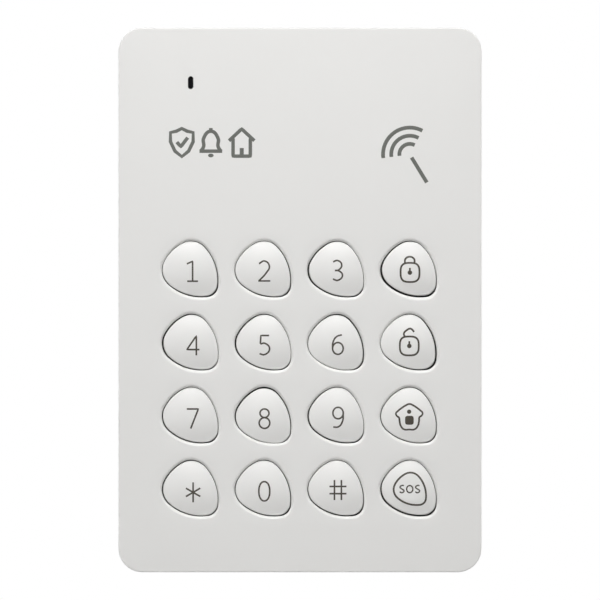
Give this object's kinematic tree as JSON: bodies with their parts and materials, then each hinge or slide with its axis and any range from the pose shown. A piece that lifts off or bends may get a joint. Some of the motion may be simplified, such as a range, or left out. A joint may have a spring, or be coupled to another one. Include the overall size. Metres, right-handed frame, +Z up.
{
  "type": "alarm keypad panel",
  "caption": "Flat white wall keypad for an alarm: shaped sprung keys with arm, disarm, home and SOS, tag reader, battery bay and slide-on wall bracket.",
  "frame": {"origin": "centre of the wall bracket's four screw holes, on the bracket's back face", "axes": "+Y into the wall, the keys face -Y; +Z up; +X to the right of someone facing the keypad"},
  "size_m": [0.08, 0.0207, 0.12],
  "materials": {
    "shell_white": "fine moulded texture",
    "bracket_white": "smooth moulded",
    "key_white": "satin",
    "dark_window": "gloss",
    "silicone": "matt",
    "carbon": "matt",
    "circuit_board": "solder mask",
    "chip_black": "moulded epoxy",
    "can_metal": "plain",
    "ceramic_parts": "plain",
    "black_plastic": "plain",
    "led_body": "clear epoxy",
    "copper_wire": "enamelled",
    "spring_steel": "nickel plated",
    "cell_jacket": "printed film",
    "lead_sleeve": "plain",
    "screw_steel": "zinc plated"
  },
  "bodies": {
    "wall_bracket": {"wall_bracket": "bracket_white"},
    "case": {"front_cover": "shell_white", "rear_cover": "shell_white", "indicator_lens": "dark_window", "keymat": "silicone", "main_board": "circuit_board", "microcontroller": "chip_black", "reader_chip": "chip_black", "radio_module": "can_metal", "crystals": "can_metal", "small_components": "ceramic_parts", "electrolytic_capacitors": "can_metal", "buzzer": "black_plastic", "status_led": "led_body", "reader_coil": "copper_wire", "coil_leads": "copper_wire", "aerial": "copper_wire", "tamper_switch": "black_plastic", "tamper_spring": "spring_steel", "battery_cells": "cell_jacket", "battery_springs": "spring_steel", "battery_contacts": "spring_steel", "battery_leads": "lead_sleeve", "case_screws": "screw_steel", "board_screws": "screw_steel"},
    "battery_door": {"battery_door": "shell_white"},
    "tamper_plunger": {"tamper_plunger": "bracket_white"},
    "key_1": {"key_1": "key_white", "pill_1": "carbon"},
    "key_2": {"key_2": "key_white", "pill_2": "carbon"},
    "key_3": {"key_3": "key_white", "pill_3": "carbon"},
    "key_arm": {"key_arm": "key_white", "pill_arm": "carbon"},
    "key_4": {"key_4": "key_white", "pill_4": "carbon"},
    "key_5": {"key_5": "key_white", "pill_5": "carbon"},
    "key_6": {"key_6": "key_white", "pill_6": "carbon"},
    "key_disarm": {"key_disarm": "key_white", "pill_disarm": "carbon"},
    "key_7": {"key_7": "key_white", "pill_7": "carbon"},
    "key_8": {"key_8": "key_white", "pill_8": "carbon"},
    "key_9": {"key_9": "key_white", "pill_9": "carbon"},
    "key_home": {"key_home": "key_white", "pill_home": "carbon"},
    "key_star": {"key_star": "key_white", "pill_star": "carbon"},
    "key_0": {"key_0": "key_white", "pill_0": "carbon"},
    "key_hash": {"key_hash": "key_white", "pill_hash": "carbon"},
    "key_sos": {"key_sos": "key_white", "pill_sos": "carbon"}
  },
  "joints": [
    {"name": "case_lift", "type": "slide", "parent": "wall_bracket", "child": "case", "axis": [0, 0, 1], "range_m": [0, 0.006]},
    {"name": "door_slide", "type": "slide", "parent": "case", "child": "battery_door", "axis": [0, 0, 1], "range_m": [0, 0.047]},
    {"name": "tamper_press", "type": "slide", "parent": "case", "child": "tamper_plunger", "axis": [0, -1, 0], "range_m": [0, 0.0008], "stiffness_N_per_m": 250, "springref_m": -0.002, "deforming": ["tamper_spring"]},
    {"name": "press_1", "type": "slide", "parent": "case", "child": "key_1", "axis": [0, 1, 0], "range_m": [0, 0.001], "stiffness_N_per_m": 350, "springref_m": -0.001, "deforming": ["keymat"]},
    {"name": "press_2", "type": "slide", "parent": "case", "child": "key_2", "axis": [0, 1, 0], "range_m": [0, 0.001], "stiffness_N_per_m": 350, "springref_m": -0.001, "deforming": ["keymat"]},
    {"name": "press_3", "type": "slide", "parent": "case", "child": "key_3", "axis": [0, 1, 0], "range_m": [0, 0.001], "stiffness_N_per_m": 350, "springref_m": -0.001, "deforming": ["keymat"]},
    {"name": "press_arm", "type": "slide", "parent": "case", "child": "key_arm", "axis": [0, 1, 0], "range_m": [0, 0.001], "stiffness_N_per_m": 350, "springref_m": -0.001, "deforming": ["keymat"]},
    {"name": "press_4", "type": "slide", "parent": "case", "child": "key_4", "axis": [0, 1, 0], "range_m": [0, 0.001], "stiffness_N_per_m": 350, "springref_m": -0.001, "deforming": ["keymat"]},
    {"name": "press_5", "type": "slide", "parent": "case", "child": "key_5", "axis": [0, 1, 0], "range_m": [0, 0.001], "stiffness_N_per_m": 350, "springref_m": -0.001, "deforming": ["keymat"]},
    {"name": "press_6", "type": "slide", "parent": "case", "child": "key_6", "axis": [0, 1, 0], "range_m": [0, 0.001], "stiffness_N_per_m": 350, "springref_m": -0.001, "deforming": ["keymat"]},
    {"name": "press_disarm", "type": "slide", "parent": "case", "child": "key_disarm", "axis": [0, 1, 0], "range_m": [0, 0.001], "stiffness_N_per_m": 350, "springref_m": -0.001, "deforming": ["keymat"]},
    {"name": "press_7", "type": "slide", "parent": "case", "child": "key_7", "axis": [0, 1, 0], "range_m": [0, 0.001], "stiffness_N_per_m": 350, "springref_m": -0.001, "deforming": ["keymat"]},
    {"name": "press_8", "type": "slide", "parent": "case", "child": "key_8", "axis": [0, 1, 0], "range_m": [0, 0.001], "stiffness_N_per_m": 350, "springref_m": -0.001, "deforming": ["keymat"]},
    {"name": "press_9", "type": "slide", "parent": "case", "child": "key_9", "axis": [0, 1, 0], "range_m": [0, 0.001], "stiffness_N_per_m": 350, "springref_m": -0.001, "deforming": ["keymat"]},
    {"name": "press_home", "type": "slide", "parent": "case", "child": "key_home", "axis": [0, 1, 0], "range_m": [0, 0.001], "stiffness_N_per_m": 350, "springref_m": -0.001, "deforming": ["keymat"]},
    {"name": "press_star", "type": "slide", "parent": "case", "child": "key_star", "axis": [0, 1, 0], "range_m": [0, 0.001], "stiffness_N_per_m": 350, "springref_m": -0.001, "deforming": ["keymat"]},
    {"name": "press_0", "type": "slide", "parent": "case", "child": "key_0", "axis": [0, 1, 0], "range_m": [0, 0.001], "stiffness_N_per_m": 350, "springref_m": -0.001, "deforming": ["keymat"]},
    {"name": "press_hash", "type": "slide", "parent": "case", "child": "key_hash", "axis": [0, 1, 0], "range_m": [0, 0.001], "stiffness_N_per_m": 350, "springref_m": -0.001, "deforming": ["keymat"]},
    {"name": "press_sos", "type": "slide", "parent": "case", "child": "key_sos", "axis": [0, 1, 0], "range_m": [0, 0.001], "stiffness_N_per_m": 350, "springref_m": -0.001, "deforming": ["keymat"]}
  ]
}
